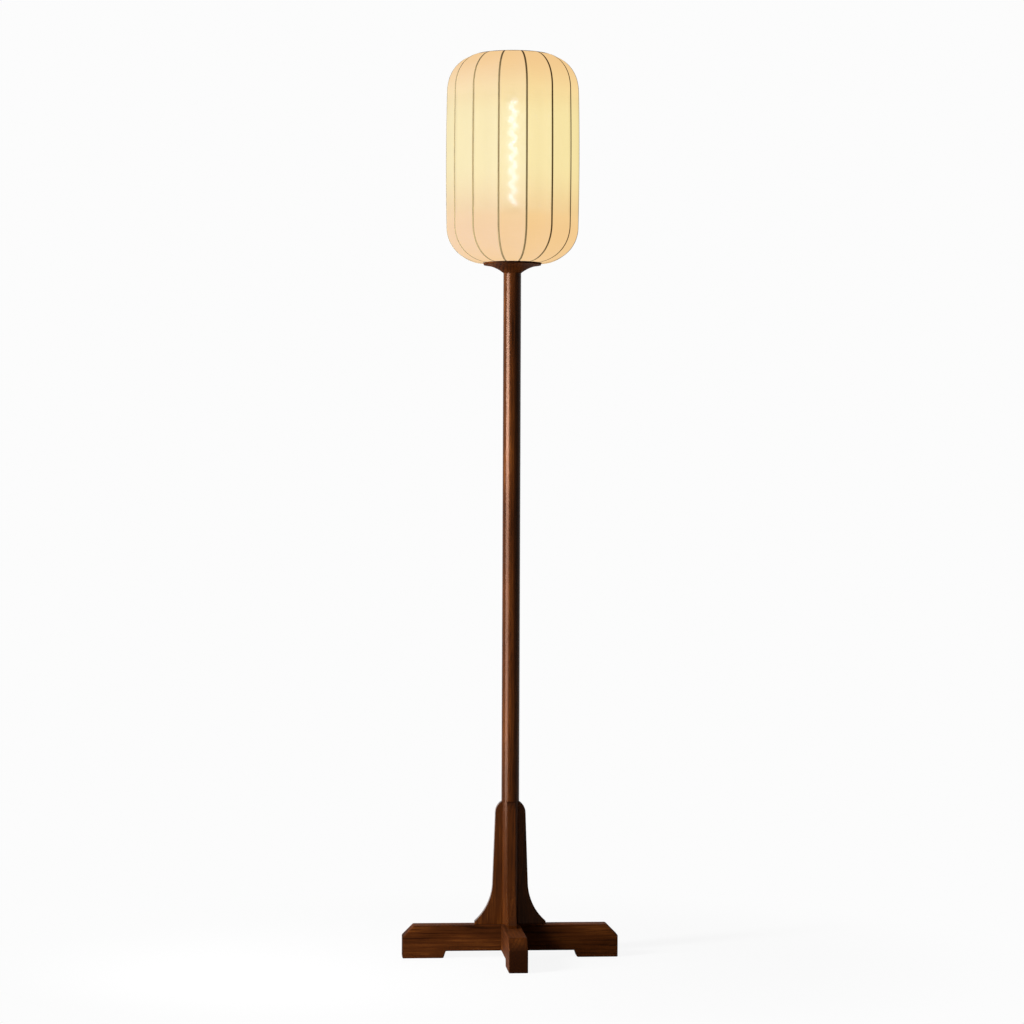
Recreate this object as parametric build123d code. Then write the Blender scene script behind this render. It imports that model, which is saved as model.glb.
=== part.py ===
from build123d import *

import os
from math import cos, radians, sin, tan

# ---------------------------------------------------------------------------------------------
# Andon floor lamp, in millimetres.  +Z is up and the origin is on the floor, under the middle
# of the cross base.  One beam of the base lies along X, the other along Y.
# ---------------------------------------------------------------------------------------------

# Cross base
base_span = 370.0  # tip to tip of each beam
beam_width = 32.0
beam_height = 56.0  # floor to the top of a beam
beam_chamfer = 19.0  # slanted top corner at each tip
foot_length = 70.0  # stretch of a beam that stands on the floor
foot_height = 12.0  # arch between the feet
foot_slope = 4.0  # lean of a foot's inner end
arris = 1.0  # small chamfer along the beams' edges

# Fins that brace the post on the beams
fin_width = 14.0
fin_reach = 61.2  # from the post's axis to the toe
fin_toe_height = 5.0
fin_neck_reach = 30.3
fin_neck_height = 70.0  # above the beam, where the hollow curve ends
fin_shoulder_reach = 25.9
fin_shoulder_height = 192.0  # above the beam, where the rounded head starts
fin_height = 211.0
tenon_width = 6.0
tenon_depth = 8.0
tenon_length = 28.0
tenon_setback = 8.5  # from the toe to the tenon
tongue_depth = 5.0  # how far a fin's tongue goes into the post
tongue_stop = 17.0  # from the fin's top down to the end of its tongue

# Post
post_diameter = 30.6
post_top = 1174.2
post_tenon_diameter = 20.0
foot_tenon_length = 26.0
top_tenon_length = 8.0

# Plate that carries the shade
plate_diameter = 98.8
plate_height = 17.4
plate_rim = 3.4  # thickness of its edge
plate_cove_diameter = 54.0  # its hollow underside passes through this diameter
plate_cove_drop = 9.7  # this far below the plate's top
cove_cuts = 5  # straight cuts that stand for the cove

# Steel pipe through the post, with its washers and nuts
pipe_diameter = 10.0
pipe_wall = 1.0
washer_thickness = 1.5
washer_diameter = 22.0
nut_flats = 14.0
nut_thickness = 4.0
counterbore_diameter = 24.0
counterbore_depth = 8.0
pipe_end = 1.0  # pipe standing out past the foot nut

# Cord bushing pushed into the pipe's lower end
bushing_flange = 1.2
bushing_diameter = 13.0
bushing_length = 8.0
bushing_bore = 6.4

# Lampholder
spacer_diameter = 14.0
spacer_height = 21.0
holder_diameter = 39.5
cap_height = 18.0
cap_neck_diameter = 17.0
cap_neck_height = 6.0
cap_wall = 2.2
pipe_grip = 9.0  # pipe inside the lampholder's cap
body_height = 42.0
body_mouth_diameter = 28.6
insulator_diameter = 35.0
insulator_top = 14.0  # above the body's lower edge
insulator_height = 10.0
flange_diameter = 47.0
flange_top = 13.5  # above the body's lower edge
flange_thickness = 2.5
shell_bore = 26.9
shell_wall = 0.5
shell_height = 24.0
contact_width = 5.0
contact_sheet = 0.6
contact_height = 5.7
contact_foot = 6.0
terminal_diameter = 6.0
terminal_height = 3.0
terminal_spacing = 20.0

# Bulb: a tube with one coiled filament
bulb_length = 225.0
bulb_diameter = 30.0
glass_wall = 0.9
cap_diameter = 26.2
cap_sheet = 0.4
cap_length = 20.0
bulb_tip_height = 1.3
bulb_insulator_height = 4.7
bulb_insulator_diameter = 22.0
bulb_tip_diameter = 9.6
neck_diameter = 25.0
neck_depth = 9.0  # glass inside the cap
glass_shoulder = 8.0
dome_facets = 4  # straight cuts that stand for the round end
stem_diameter = 7.0
stem_height = 20.0
rod_diameter = 2.4
coil_diameter = 8.6
coil_start = 42.0  # above the bulb's tip
coil_height = 169.0
coil_turns = 7
coil_strip = 1.0
coil_facets = 12  # straight cuts that stand for one round turn
lead_diameter = 0.8

# Shade: fifteen bent ribs between two hoops, covered in silk
lamp_height = 1547.5
shade_diameter = 228.5
shade_turn = -4.57  # degrees that the shade is turned on the stand
rib_count = 15
rib_width = 2.2
rib_depth = 1.6
hoop_height = 3.0
hoop_thickness = 2.4
top_hoop_diameter = 120.0
crown_diameter = 114.0  # the upper corner's outline would be level at this diameter, inside the hoop
bottom_hoop_diameter = 97.0
top_corner_height = 64.0
top_knuckle = 59.5  # radius of the middle arc of the upper corner
bottom_corner_height = 59.5
bottom_knuckle = 57.5
first_arc = 32.0  # degrees of the arc next to a hoop
knuckle_arc = 44.0
barrel_lean = 1.2  # degrees that the side leans in at each end
silk = 0.6
hem_turn_in = 0.4  # silk that reaches in past the lower hoop's outer face

# Spider that carries the shade on the lampholder, and the ring that clamps it
hub_diameter = 60.0
hub_bore = 41.0
hub_sheet = 1.5
arm_count = 3
arm_width = 6.0
arm_reach = 37.0  # where an arm turns down
arm_bend = 6.0
clamp_diameter = 52.0
clamp_bore = 41.0
clamp_height = 10.0
clamp_flats = 12

# Clearances
glue_gap = 0.1  # between glued or screwed pieces that do not move
weld_gap = 0.2  # between pieces of the shade's frame that are soldered together
rib_gap = 0.5  # between a rib and the silk stretched over it
slip_gap = 0.3  # between pieces that come apart

# ---------------------------------------------------------------------------------------------
# Levels and radii that follow from the sizes above
# ---------------------------------------------------------------------------------------------
half_span = base_span / 2
lap_level = (foot_height + beam_height) / 2
post_radius = post_diameter / 2
plate_top = post_top + plate_height
shade_bottom = plate_top + slip_gap
pipe_clear = pipe_diameter / 2 + 2 * glue_gap

counterbore_top = foot_height + counterbore_depth
foot_washer_bottom = counterbore_top - washer_thickness
foot_nut_bottom = foot_washer_bottom - nut_thickness
pipe_bottom = foot_nut_bottom - pipe_end
top_washer_top = plate_top + washer_thickness
top_nut_top = top_washer_top + nut_thickness
holder_bottom = top_nut_top + spacer_height
pipe_top = holder_bottom + pipe_grip
body_bottom = holder_bottom + cap_height
body_top = body_bottom + body_height
insulator_level = body_bottom + insulator_top
flange_level = body_bottom + flange_top

bulb_tip = insulator_level + contact_height + slip_gap
bulb_top = bulb_tip + bulb_length
cap_bottom = bulb_tip + bulb_tip_height + bulb_insulator_height
cap_top = cap_bottom + cap_length

hub_bottom = flange_level + slip_gap
hub_top = hub_bottom + hub_sheet
clamp_bottom = hub_top + slip_gap

rib_inset = silk + rib_gap
hoop_inset = silk + slip_gap
bottom_hoop_radius = bottom_hoop_diameter / 2
gore_angle = 360 / rib_count
gore_flatness = cos(radians(gore_angle / 2))
top_hoop_bottom = lamp_height - hoop_height
bottom_hoop_bottom = shade_bottom + hoop_inset
bottom_hoop_top = bottom_hoop_bottom + hoop_height


# ---------------------------------------------------------------------------------------------
# Helpers
# ---------------------------------------------------------------------------------------------
def rod(diameter, low, high):
    """Upright cylinder on the lamp's axis."""
    return Pos(0, 0, low) * Cylinder(diameter / 2, high - low, align=(Align.CENTER, Align.CENTER, Align.MIN))


def tube(outer, inner, low, high):
    """Upright tube on the lamp's axis, by its two diameters."""
    return rod(outer, low, high) - rod(inner, low, high)


def block(x_range, y_range, z_range):
    """Box between two values on each axis."""
    sides = [high - low for low, high in (x_range, y_range, z_range)]
    middle = [(high + low) / 2 for low, high in (x_range, y_range, z_range)]
    return Pos(*middle) * Box(*sides)


def upright_face(edges):
    """Face in the X-Z plane from edges drawn with x outwards and y up."""
    return make_face([Plane.XZ * edge for edge in edges])


def turned(edges):
    """Solid turned about the lamp's axis from a half outline."""
    return revolve(upright_face(edges), Axis.Z)


def turned_polygon(points):
    """Solid turned about the lamp's axis from straight-sided points (radius, level)."""
    return turned(Polyline(*points, close=True).edges())


def separate(*solids):
    """One piece made of several loose solids."""
    return Compound(children=[Solid(solid.solid().wrapped) for solid in solids])


def hex_nut(low):
    """Lamp nut on the pipe."""
    across_corners = nut_flats / cos(radians(30))
    body = extrude(Pos(0, 0, low) * RegularPolygon(across_corners / 2, 6), nut_thickness)
    return body - rod(pipe_diameter + 2 * glue_gap, low, low + nut_thickness)


def washer(low):
    """Flat washer on the pipe."""
    return tube(washer_diameter, pipe_diameter + 4 * glue_gap, low, low + washer_thickness)


# ---------------------------------------------------------------------------------------------
# Cross base
# ---------------------------------------------------------------------------------------------
def beam_blank():
    """One beam of the base along X: feet, arch between them, slanted tips and eased edges."""
    inner = half_span - foot_length
    right = [
        (inner - foot_slope, foot_height),
        (inner, 0),
        (half_span, 0),
        (half_span, beam_height - beam_chamfer),
        (half_span - beam_chamfer, beam_height),
    ]
    left = [(-x, z) for x, z in reversed(right)]
    outline = Polyline(*right, *left, close=True)
    blank = extrude(upright_face(outline.edges()), beam_width / 2, both=True)
    return chamfer(blank.edges(), arris)


def fin_mortises():
    """Pair of slots in a beam's top for the tenons of two fins."""
    outer = fin_reach - tenon_setback + glue_gap
    inner = fin_reach - tenon_setback - tenon_length - glue_gap
    half = tenon_width / 2 + glue_gap
    slot = block((inner, outer), (-half, half), (beam_height - tenon_depth - glue_gap, beam_height))
    return slot + Rot(0, 0, 180) * slot


def lap_notch(low, high):
    """Housing that the other beam drops into."""
    half = beam_width / 2 + glue_gap
    return block((-half, half), (-beam_width, beam_width), (low, high))


def make_beam_lower():
    """Beam along X, notched from above; it holds the foot nut in a counterbore."""
    tenon_hole = rod(post_tenon_diameter + 2 * glue_gap, beam_height - foot_tenon_length - glue_gap, beam_height)
    beam = beam_blank() - lap_notch(lap_level - glue_gap, beam_height) - fin_mortises() - tenon_hole
    return beam - rod(counterbore_diameter, foot_height, counterbore_top) - rod(2 * pipe_clear, 0, beam_height)


def make_beam_upper():
    """Beam along Y, notched from below and bored for the post's tenon."""
    beam = beam_blank() - lap_notch(0, lap_level) - fin_mortises()
    return Rot(0, 0, 90) * (beam - rod(post_tenon_diameter + 2 * glue_gap, 0, beam_height))


def make_fin(angle):
    """Brace with a hollow-curved back, a rounded head, a tongue in the post and a tenon in the beam."""
    base = beam_height
    toe = (fin_reach, base + fin_toe_height)
    neck = (fin_neck_reach, base + fin_neck_height)
    shoulder = (fin_shoulder_reach, base + fin_shoulder_height)
    head = (post_radius, base + fin_height)
    inner = post_radius - tongue_depth / 2
    lean = Vector(*shoulder) - Vector(*neck)
    outline = [
        Line((inner, base), (fin_reach, base)),
        Line((fin_reach, base), toe),
        TangentArc(neck, toe, tangent=-lean),
        Line(neck, shoulder),
        TangentArc(shoulder, head, tangent=lean),
        Line(head, (inner, head[1])),
        Line((inner, head[1]), (inner, base)),
    ]
    body = extrude(upright_face(outline), fin_width / 2, both=True)
    body -= rod(post_diameter + 2 * glue_gap, base, base + fin_height)
    half = tenon_width / 2
    tongue_tip = post_radius - tongue_depth
    body += block((tongue_tip, post_radius + half), (-half, half), (base, base + fin_height - tongue_stop))
    tenon_out = fin_reach - tenon_setback
    body += block((tenon_out - tenon_length, tenon_out), (-half, half), (base - tenon_depth, base + half))
    return Rot(0, 0, angle) * body


# ---------------------------------------------------------------------------------------------
# Post, plate and the pipe that pulls them together
# ---------------------------------------------------------------------------------------------
def make_post():
    """Round post with a tenon at each end, four grooves for the fins and a bore for the pipe."""
    post = rod(post_diameter, beam_height, post_top)
    post += rod(post_tenon_diameter, beam_height - foot_tenon_length, post_top + top_tenon_length)
    half = tenon_width / 2 + glue_gap
    groove_top = beam_height + fin_height - tongue_stop + glue_gap
    bottom_of_groove = post_radius - tongue_depth - glue_gap
    groove = block((bottom_of_groove, post_diameter), (-half, half), (beam_height, groove_top))
    for corner in range(4):
        post -= Rot(0, 0, 90 * corner) * groove
    return post - rod(2 * pipe_clear, 0, lamp_height)


def make_shade_plate():
    """Turned plate whose hollow underside flows out of the post in one long cove."""
    edge = plate_diameter / 2
    start, stop = (post_radius, post_top), (edge, plate_top - plate_rim)
    cove = ThreePointArc(start, (plate_cove_diameter / 2, plate_top - plate_cove_drop), stop)
    underside = [tuple(cove @ (cut / cove_cuts))[:2] for cut in range(cove_cuts + 1)]
    plate = turned_polygon([(0, post_top), *underside, (edge, plate_top), (0, plate_top)])
    socket = rod(post_tenon_diameter + 2 * glue_gap, post_top, post_top + top_tenon_length + glue_gap)
    return plate - socket - rod(2 * pipe_clear, post_top, plate_top)


def make_tie_tube():
    """Steel pipe from the foot nut to the lampholder; the cord runs inside it."""
    return tube(pipe_diameter, pipe_diameter - 2 * pipe_wall, pipe_bottom, pipe_top)


def make_cord_bushing():
    """Flanged plastic bushing in the pipe's lower end, where a cord goes in."""
    spigot = pipe_diameter - 2 * pipe_wall - 2 * glue_gap
    bushing = rod(bushing_diameter, pipe_bottom - bushing_flange, pipe_bottom)
    bushing += rod(spigot, pipe_bottom, pipe_bottom + bushing_length)
    return bushing - rod(bushing_bore, 0, beam_height)


# ---------------------------------------------------------------------------------------------
# Lampholder
# ---------------------------------------------------------------------------------------------
def make_neck_spacer():
    """Short tube that stands the lampholder off the plate's nut."""
    return tube(spacer_diameter, pipe_diameter + 4 * glue_gap, top_nut_top, holder_bottom)


def make_socket_cap():
    """Lower cap of the lampholder: a cup on a threaded neck, hollow for the wiring."""
    neck_top = holder_bottom + cap_neck_height
    cap = rod(cap_neck_diameter, holder_bottom, neck_top) + rod(holder_diameter, neck_top, body_bottom)
    cap -= rod(holder_diameter - 2 * cap_wall, neck_top + cap_wall, body_bottom)
    return cap - rod(pipe_diameter + 2 * glue_gap, holder_bottom, body_bottom)


def make_socket_body():
    """Sleeve of the lampholder with the flange that the shade's spider rests on."""
    outer = holder_diameter / 2
    flange = flange_diameter / 2
    lower_bore = insulator_diameter / 2 + glue_gap
    mouth = body_mouth_diameter / 2
    ledge = insulator_level + glue_gap
    return turned_polygon(
        [
            (lower_bore, body_bottom),
            (outer, body_bottom),
            (outer, flange_level - flange_thickness),
            (flange, flange_level - flange_thickness),
            (flange, flange_level),
            (outer, flange_level),
            (outer, body_top),
            (mouth, body_top),
            (mouth, ledge),
            (lower_bore, ledge),
        ]
    )


def make_socket_insulator():
    """Ceramic disc that carries the contact, the shell and the terminals."""
    return rod(insulator_diameter, insulator_level - insulator_height, insulator_level)


def make_terminal_screws():
    """The two terminal screws, heads down, under the insulator."""
    top = insulator_level - insulator_height
    screw = Pos(terminal_spacing / 2, 0, 0) * rod(terminal_diameter, top - terminal_height, top)
    return separate(screw, Rot(0, 0, 180) * screw)


def make_socket_shell():
    """Brass shell on the insulator that the bulb's cap goes into."""
    low = insulator_level + glue_gap
    return tube(shell_bore + 2 * shell_wall, shell_bore, low, low + shell_height)


def make_socket_contact():
    """Springy centre contact: a folded strip that stands on the insulator under the bulb's tip."""
    low, high, sheet = insulator_level, insulator_level + contact_height, contact_sheet
    half = contact_foot / 2
    outline = Polyline(
        (-half, low),
        (half, low),
        (half, low + sheet),
        (-half + 2 * sheet, low + sheet),
        (-half + 2 * sheet, high - sheet),
        (half, high - sheet),
        (half, high),
        (-half + sheet, high),
        (-half + sheet, low + sheet),
        (-half, low + sheet),
        close=True,
    )
    return extrude(upright_face(outline.edges()), contact_width / 2, both=True)


# ---------------------------------------------------------------------------------------------
# Bulb
# ---------------------------------------------------------------------------------------------
def make_bulb_cap():
    """Brass screw cap, drawn as a plain shell."""
    return tube(cap_diameter, cap_diameter - 2 * cap_sheet, cap_bottom, cap_top)


def make_bulb_insulator():
    """Black glass button between the cap and its tip."""
    return rod(bulb_insulator_diameter, cap_bottom - bulb_insulator_height, cap_bottom)


def make_bulb_contact():
    """Soldered tip of the cap."""
    return rod(bulb_tip_diameter, bulb_tip, bulb_tip + bulb_tip_height)


def glass_outline(inset):
    """Half outline of the bulb's tube from its open neck to the round end, inset by a wall."""
    radius = bulb_diameter / 2 - inset
    neck = neck_diameter / 2 - inset
    centre = bulb_top - bulb_diameter / 2
    turns = [radians(90 * step / dome_facets) for step in range(dome_facets + 1)]
    dome = [(radius * cos(turn), centre + radius * sin(turn)) for turn in turns]
    return [(neck, cap_top - neck_depth), (neck, cap_top), (radius, cap_top + glass_shoulder), *dome]


def make_bulb_glass():
    """Clear tube with a round end, open at its neck inside the cap."""
    return turned_polygon([*glass_outline(0), *reversed(glass_outline(glass_wall))])


def make_bulb_stem():
    """Glass foot that seals the neck, with the rod that carries the filament."""
    low = cap_top - neck_depth
    disc = rod(neck_diameter - 2 * glass_wall - 2 * glue_gap, low, low + glass_wall)
    foot = rod(stem_diameter, low, low + stem_height)
    return disc + foot + rod(rod_diameter, low, bulb_tip + coil_start + coil_height)


def make_bulb_filament():
    """Glowing strip wound as one open coil around the rod."""
    steps = coil_turns * coil_facets
    radius = coil_diameter / 2
    points = []
    for step in range(steps + 1):
        turn = radians(360 / coil_facets * step)
        level = bulb_tip + coil_start + coil_height / steps * step
        points.append((radius * cos(turn), radius * sin(turn), level))
    path = Polyline(*points)
    section = Plane(origin=path @ 0, x_dir=(1, 0, 0), z_dir=path % 0) * Rectangle(coil_strip, coil_strip)
    return sweep(section, path, transition=Transition.RIGHT)


def make_bulb_leads():
    """Wires that hold the coil's two ends: one up from the foot, one across from the rod."""
    coil = coil_diameter / 2
    coil_bottom = bulb_tip + coil_start
    disc_top = cap_top - neck_depth + glass_wall
    lower = Pos(coil, 0, 0) * rod(lead_diameter, disc_top, coil_bottom - coil_strip)
    start = rod_diameter / 2 + glue_gap
    stop = coil - coil_strip / 2 - glue_gap
    top = coil_bottom + coil_height
    upper = block((start, stop), (-lead_diameter / 2, lead_diameter / 2), (top - lead_diameter, top))
    return separate(lower, upper)


# ---------------------------------------------------------------------------------------------
# Shade
# ---------------------------------------------------------------------------------------------
def corner_radii(width, height, knuckle):
    """Radii of the arcs next to the hoop and next to the side, for a three-arc corner.

    The arcs turn first_arc, knuckle_arc and what is left of a square corner less barrel_lean,
    and together span the given width and height.
    """
    first, second = radians(first_arc), radians(first_arc + knuckle_arc)
    last = radians(90 - barrel_lean)
    a, b = sin(first), sin(last) - sin(second)
    c, d = 1 - cos(first), cos(second) - cos(last)
    across = width - knuckle * (sin(second) - sin(first))
    down = height - knuckle * (cos(first) - cos(second))
    determinant = a * d - b * c
    return (across * d - b * down) / determinant, (a * down - across * c) / determinant


def shade_meridian(inset, squeeze=1.0):
    """Side outline of the shade from the upper hoop round to the lower one.

    It runs a distance inset inside the silk's outer face.  squeeze narrows it about the axis.
    """
    lean = radians(barrel_lean)
    side = lamp_height - shade_bottom - top_corner_height - bottom_corner_height
    side_radius = side / 2 / sin(lean)
    side_edge = shade_diameter / 2 - side / 2 * tan(lean / 2)
    top_start = crown_diameter / 2
    bottom_start = bottom_hoop_radius + weld_gap
    top_first, top_last = corner_radii(
        squeeze * (side_edge - top_start), top_corner_height, squeeze * top_knuckle
    )
    bottom_first, bottom_last = corner_radii(
        squeeze * (side_edge - bottom_start), bottom_corner_height, squeeze * bottom_knuckle
    )
    last_arc = 90 - barrel_lean - first_arc - knuckle_arc
    turns = [
        (top_first, first_arc),
        (squeeze * top_knuckle, knuckle_arc),
        (top_last, last_arc),
        (side_radius, 2 * barrel_lean),
        (bottom_last, last_arc),
        (squeeze * bottom_knuckle, knuckle_arc),
        (bottom_first, first_arc),
    ]
    point, heading = Vector(squeeze * top_start, lamp_height - inset), Vector(1, 0)
    outline = []
    for radius, angle in turns:
        arc = JernArc(point, heading, radius - inset, -angle)
        point, heading = arc @ 1, arc % 1
        outline.append(arc)
    return outline


def shade_mouth():
    """Space that the upper hoop takes out of the ribs and the silk."""
    return rod(top_hoop_diameter + 2 * weld_gap, top_hoop_bottom - hoop_height, lamp_height + hoop_height)


def make_rib(number):
    """Bent strip from the upper hoop to the lower one."""
    outer = shade_meridian(rib_inset)
    inner = shade_meridian(rib_inset + rib_depth)
    ends = [Line(outer[0] @ 0, inner[0] @ 0), Line(outer[-1] @ 1, inner[-1] @ 1)]
    rib = extrude(upright_face([*outer, *inner, *ends]), rib_width / 2, both=True) - shade_mouth()
    return Rot(0, 0, shade_turn - 90 + gore_angle * (number + 0.5)) * rib


def make_hoop(diameter, low):
    """Flat hoop that the ribs' ends are soldered to, by its outer diameter."""
    return tube(diameter, diameter - 2 * hoop_thickness, low, low + hoop_height)


def make_gore():
    """One panel of the silk, straight across from rib to rib, facing along X."""
    outer = shade_meridian(0, gore_flatness)
    inner = shade_meridian(silk, gore_flatness)
    hem_bottom = gore_flatness * (bottom_hoop_radius - hem_turn_in)
    edges = [
        *outer,
        Line(outer[-1] @ 1, (hem_bottom, shade_bottom)),
        Line((hem_bottom, shade_bottom), (hem_bottom, shade_bottom + silk)),
        Line((hem_bottom, shade_bottom + silk), inner[-1] @ 1),
        *inner,
        Line(inner[0] @ 0, outer[0] @ 0),
    ]
    reach = shade_diameter
    half = reach * tan(radians(gore_angle / 2))
    wedge = extrude(make_face(Polyline((0, 0), (reach, half), (reach, -half), close=True)), lamp_height + reach)
    return (extrude(upright_face(edges), half, both=True) & wedge) - shade_mouth()


def make_shade_cover():
    """The silk: one panel between each two ribs, glued edge to edge along them."""
    gore = make_gore()
    return separate(*[Rot(0, 0, shade_turn - 90 + gore_angle * number) * gore for number in range(rib_count)])


def bent_once(start, corner, end, radius):
    """Two straight runs joined by an arc, bending to the right at the corner."""
    before = (Vector(*corner) - Vector(*start)).normalized()
    after = (Vector(*end) - Vector(*corner)).normalized()
    turn = before.get_angle(after)
    bend = JernArc(Vector(*corner) - before * radius * tan(radians(turn / 2)), before, radius, -turn)
    return [Line(start, bend @ 0), bend, Line(bend @ 1, end)]


def make_spider():
    """Hub that rests on the lampholder's flange, on strip arms that rise from the lower hoop."""
    middle = (hub_bottom + hub_top) / 2
    foot = (bottom_hoop_radius - hoop_thickness / 2, bottom_hoop_top + weld_gap + hub_sheet / 4)
    path = bent_once((hub_diameter / 2 - hub_sheet, middle), (arm_reach, middle), foot, arm_bend)
    arm = extrude(Plane.XZ * trace(path, line_width=hub_sheet), arm_width / 2, both=True)
    spider = tube(hub_diameter, hub_bore, hub_bottom, hub_top)
    for number in range(arm_count):
        spider += Rot(0, 0, shade_turn - 90 + 360 / arm_count * number) * arm
    return spider


def make_shade_ring():
    """Ring that screws down on the lampholder and clamps the hub, with flats for the fingers."""
    blank = extrude(Pos(0, 0, clamp_bottom) * RegularPolygon(clamp_diameter / 2, clamp_flats), clamp_height)
    return blank - rod(clamp_bore, clamp_bottom, clamp_bottom + clamp_height)


# ---------------------------------------------------------------------------------------------
# Assembly: one file for each named piece
# ---------------------------------------------------------------------------------------------
def all_parts():
    """Every piece of the lamp by its name."""
    parts = {
        "beam_lower": make_beam_lower(),
        "beam_upper": make_beam_upper(),
        "fin_right": make_fin(0),
        "fin_back": make_fin(90),
        "fin_left": make_fin(180),
        "fin_front": make_fin(270),
        "post": make_post(),
        "shade_plate": make_shade_plate(),
        "tie_tube": make_tie_tube(),
        "pipe_washers": separate(washer(foot_washer_bottom), washer(plate_top)),
        "pipe_nuts": separate(hex_nut(foot_nut_bottom), hex_nut(top_washer_top)),
        "cord_bushing": make_cord_bushing(),
        "neck_spacer": make_neck_spacer(),
        "socket_cap": make_socket_cap(),
        "socket_body": make_socket_body(),
        "socket_insulator": make_socket_insulator(),
        "terminal_screws": make_terminal_screws(),
        "socket_shell": make_socket_shell(),
        "socket_contact": make_socket_contact(),
        "bulb_cap": make_bulb_cap(),
        "bulb_insulator": make_bulb_insulator(),
        "bulb_contact": make_bulb_contact(),
        "bulb_glass": make_bulb_glass(),
        "bulb_stem": make_bulb_stem(),
        "bulb_filament": make_bulb_filament(),
        "bulb_leads": make_bulb_leads(),
        "top_hoop": make_hoop(top_hoop_diameter, top_hoop_bottom),
        "bottom_hoop": make_hoop(bottom_hoop_diameter, bottom_hoop_bottom),
        "spider": make_spider(),
        "shade_ring": make_shade_ring(),
        "shade_cover": make_shade_cover(),
    }
    for number in range(rib_count):
        parts[f"rib_{number + 1:02d}"] = make_rib(number)
    return parts


os.makedirs("parts", exist_ok=True)
for name, part in all_parts().items():
    export_step(part, os.path.join("parts", name + ".step"))
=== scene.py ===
from math import asin, atan2, ceil, cos, hypot, pi, radians, sin, tan

import bmesh
import bpy
from bpy.props import FloatProperty, FloatVectorProperty, IntProperty, PointerProperty
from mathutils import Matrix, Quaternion, Vector
from mathutils.geometry import intersect_line_line


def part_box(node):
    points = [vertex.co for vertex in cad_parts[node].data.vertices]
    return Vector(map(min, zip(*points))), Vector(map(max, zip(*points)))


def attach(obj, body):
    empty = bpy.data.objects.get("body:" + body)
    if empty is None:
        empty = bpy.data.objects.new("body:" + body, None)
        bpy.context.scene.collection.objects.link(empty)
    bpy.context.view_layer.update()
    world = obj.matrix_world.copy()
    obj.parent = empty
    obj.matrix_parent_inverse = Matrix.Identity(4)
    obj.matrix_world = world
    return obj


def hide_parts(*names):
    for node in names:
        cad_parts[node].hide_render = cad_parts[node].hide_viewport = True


bl_info = {
    "name": "Andon floor lamp",
    "version": (1, 0, 0),
    "blender": (4, 5, 0),
    "location": "3D View > Sidebar > Lamp",
    "description": "Dresses the lamp's frame: lacquered walnut, silk gores on bent ribs, lampholder and bulb",
    "category": "Object",
}

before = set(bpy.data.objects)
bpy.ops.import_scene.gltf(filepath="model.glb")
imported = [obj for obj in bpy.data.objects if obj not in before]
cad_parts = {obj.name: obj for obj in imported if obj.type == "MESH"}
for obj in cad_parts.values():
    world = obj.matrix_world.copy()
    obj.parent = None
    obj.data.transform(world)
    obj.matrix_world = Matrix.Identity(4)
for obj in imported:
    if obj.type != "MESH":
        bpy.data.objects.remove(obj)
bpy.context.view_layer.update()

MM = 0.001
TURN = 2 * pi
AROUND = 128  # faces round a turned piece
WELD = 1e-7  # distance at which points count as one
CREASE = radians(35)  # edges sharper than this stay sharp
CAP_PITCH, RING_PITCH = 3.6 * MM, 2.5 * MM  # screw threads of the bulb and of the clamp ring
SOLDER_GAP, BORE_GAP, GLUE_GAP = 0.2 * MM, 0.2 * MM, 0.1 * MM
HAIR = 0.02 * MM  # smallest step between two surfaces
TENON = 10 * MM  # radius of the post's tenons
HOOP_WALL = 2.4 * MM
WHITE = (1.0, 1.0, 1.0, 1.0)
RIBS = sorted(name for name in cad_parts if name.startswith("rib_"))


# Sizes and colours that a user would change
def number_setting(name, description, default, **more):
    return FloatProperty(name=name, description=description, default=default, **more)


def length_setting(name, description, default):
    return number_setting(name, description, default, min=0, unit="LENGTH", precision=5)


def angle_setting(name, description, default):
    return number_setting(name, description, default, subtype="ANGLE")


def colour_setting(name, description, default):
    return FloatVectorProperty(
        name=name, description=description, default=default, subtype="COLOR", size=3, min=0, max=1
    )


class WalnutSettings(bpy.types.PropertyGroup):
    heart: colour_setting("Heartwood", "Darkest streaks of the stained walnut", (0.0155, 0.0036, 0.0007))
    body: colour_setting("Body", "Main colour of the stained walnut", (0.056, 0.0140, 0.0024))
    light: colour_setting("Light streaks", "Palest streaks of the stained walnut", (0.130, 0.0375, 0.0065))
    ring_spacing: length_setting("Ring spacing", "Distance between two growth rings", 5.5 * MM)
    arris: length_setting("Arris", "Radius that eases the edges of the fins", 3.4 * MM)
    rim: length_setting("Plate rim", "Radius of the plate's edge", 0.7 * MM)
    cove_radius: length_setting("Cove radius", "Radius that the plate's underside passes through", 27 * MM)
    cove_drop: length_setting("Cove drop", "Distance from the plate's top to that radius", 9.7 * MM)


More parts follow.
